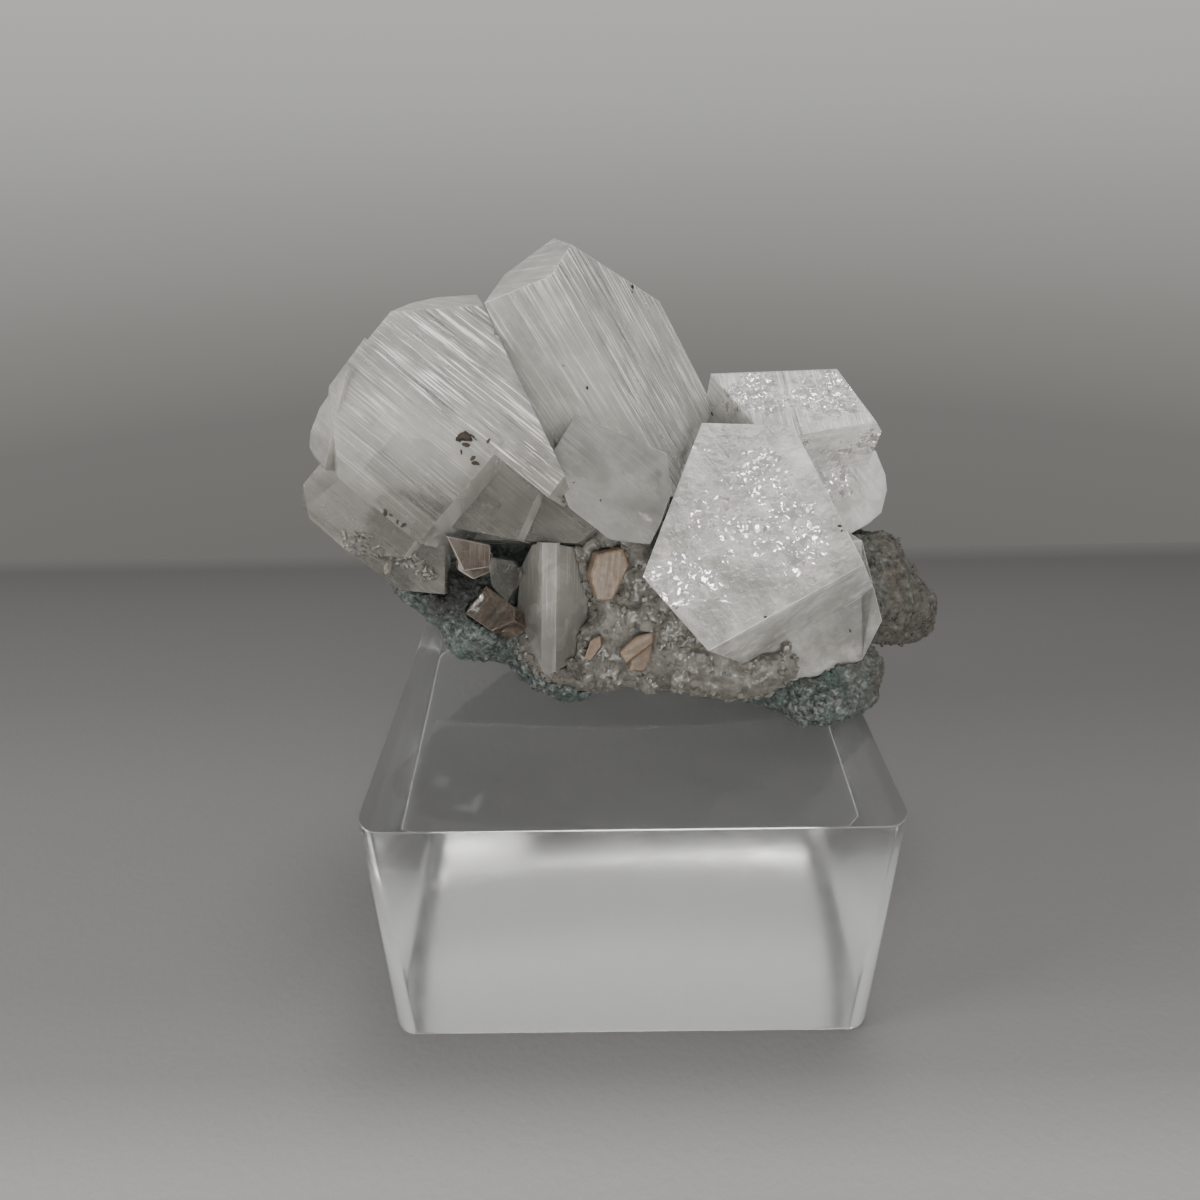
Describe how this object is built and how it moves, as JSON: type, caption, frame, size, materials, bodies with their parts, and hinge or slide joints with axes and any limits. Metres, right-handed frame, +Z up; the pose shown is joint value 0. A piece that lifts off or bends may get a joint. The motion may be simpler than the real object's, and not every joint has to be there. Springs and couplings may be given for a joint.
{
  "type": "apophyllite mineral specimen on a display block",
  "caption": "Milky square-prism apophyllite crystals with peach stilbite blades on dark matrix rock, standing on a clear acrylic display block",
  "frame": {"origin": "centre of the display block's underside", "axes": "+Z up, +X to the right and +Y away from the viewer, seen from the front of the specimen"},
  "size_m": [0.0698, 0.05, 0.074],
  "materials": {
    "clear_acrylic": "polished clear acrylic",
    "matrix_rock": "rough dark green-grey rock; stone stands in as matte_plastic",
    "drusy_crust": "fine glittering crystal crust",
    "milky_apophyllite": "milky crystal, striated prism faces",
    "clear_apophyllite": "clear grey crystal",
    "brown_apophyllite": "brown stained clear crystal",
    "stilbite": "peach, pearly; mineral stands in as matte_plastic"
  },
  "bodies": {
    "root": {"display_block": "clear_acrylic", "matrix": "matrix_rock", "drusy_crust": "drusy_crust", "front_right_crystal": "milky_apophyllite", "centre_crystal": "milky_apophyllite", "left_crystals": "milky_apophyllite", "lower_centre_crystal": "clear_apophyllite", "back_right_crystal": "milky_apophyllite", "small_brown_crystal": "brown_apophyllite", "brown_plate_crystal": "brown_apophyllite", "small_clear_crystal": "clear_apophyllite", "stilbite_blade": "stilbite", "stilbite_fan": "stilbite", "small_stilbite_blade": "stilbite"}
  },
  "joints": []
}
